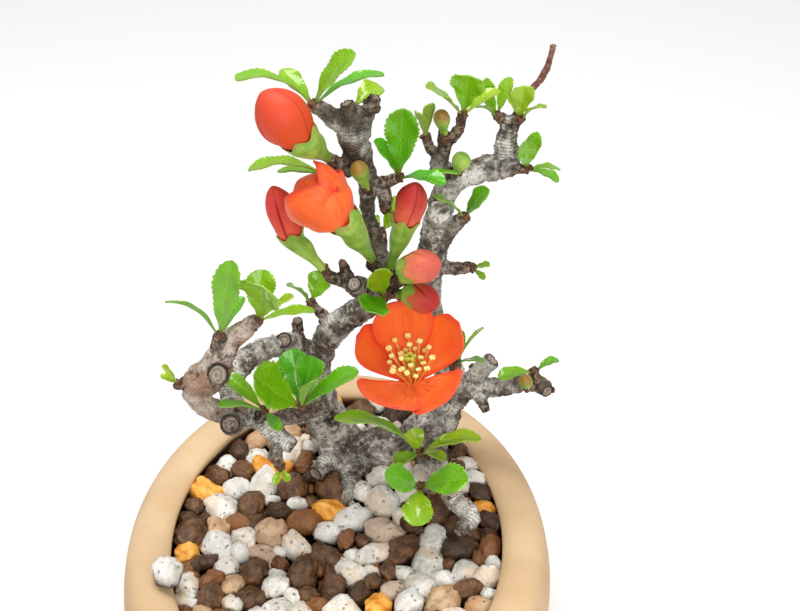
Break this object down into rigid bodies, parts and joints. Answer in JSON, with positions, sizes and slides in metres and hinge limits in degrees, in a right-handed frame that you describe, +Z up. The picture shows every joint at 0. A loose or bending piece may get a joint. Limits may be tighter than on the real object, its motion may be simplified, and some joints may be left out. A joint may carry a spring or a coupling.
{
  "type": "flowering quince bonsai",
  "caption": "Small flowering quince tree in an oval tan ceramic pot of pumice grains, with gnarled twin trunks, toothed leaves, orange-red flowers and buds",
  "frame": {"origin": "centre of the pot's foot, on the surface that the pot stands on", "axes": "+Z up along the trunks, +X across the pot's short axis to the right, -Y the front, from which the tree is viewed"},
  "size_m": [0.1064, 0.1298, 0.1642],
  "materials": {
    "tan_ceramic": "matte",
    "soil_grains": "matte",
    "white_pumice": "matte",
    "grey_bark": "matte",
    "black_plastic": "matte",
    "leaf_green": "satin",
    "calyx_green": "satin",
    "stamen_yellow": "matte",
    "bud_red": "satin",
    "petal_orange": "satin"
  },
  "bodies": {
    "root": {"bud_a_calyx": "calyx_green", "bud_a_petals": "bud_red", "bud_b_calyx": "calyx_green", "bud_b_petals": "bud_red", "bud_c_calyx": "calyx_green", "bud_c_petals": "bud_red", "bud_d_calyx": "calyx_green", "bud_d_petals": "bud_red", "bud_e_calyx": "calyx_green", "bud_e_petals": "bud_red", "drain_mesh_back": "black_plastic", "drain_mesh_front": "black_plastic", "green_bud_f": "calyx_green", "green_bud_g": "calyx_green", "green_bud_i": "calyx_green", "green_bud_j": "calyx_green", "half_flower_calyx": "calyx_green", "half_flower_petals": "petal_orange", "leaves_arm_glossy": "leaf_green", "leaves_arm_low": "leaf_green", "leaves_back": "leaf_green", "leaves_back_left": "leaf_green", "leaves_branch_end": "leaf_green", "leaves_bud_side": "leaf_green", "leaves_centre": "leaf_green", "leaves_crown_back": "leaf_green", "leaves_crown_left": "leaf_green", "leaves_elbow": "leaf_green", "leaves_flower_side": "leaf_green", "leaves_fork_left": "leaf_green", "leaves_fork_right": "leaf_green", "leaves_knob_end": "leaf_green", "leaves_knob_side": "leaf_green", "leaves_low_fan": "leaf_green", "leaves_low_front": "leaf_green", "leaves_mid_glossy": "leaf_green", "leaves_mid_right": "leaf_green", "leaves_tip_left": "leaf_green", "leaves_tip_right": "leaf_green", "open_flower_calyx": "calyx_green", "open_flower_petals": "petal_orange", "open_flower_stamens": "stamen_yellow", "pot": "tan_ceramic", "rim_grain": "white_pumice", "soil": "soil_grains", "sprout_arm": "leaf_green", "sprout_knob": "leaf_green", "sprout_nub": "leaf_green", "sprout_side": "leaf_green", "wood": "grey_bark"}
  },
  "joints": []
}
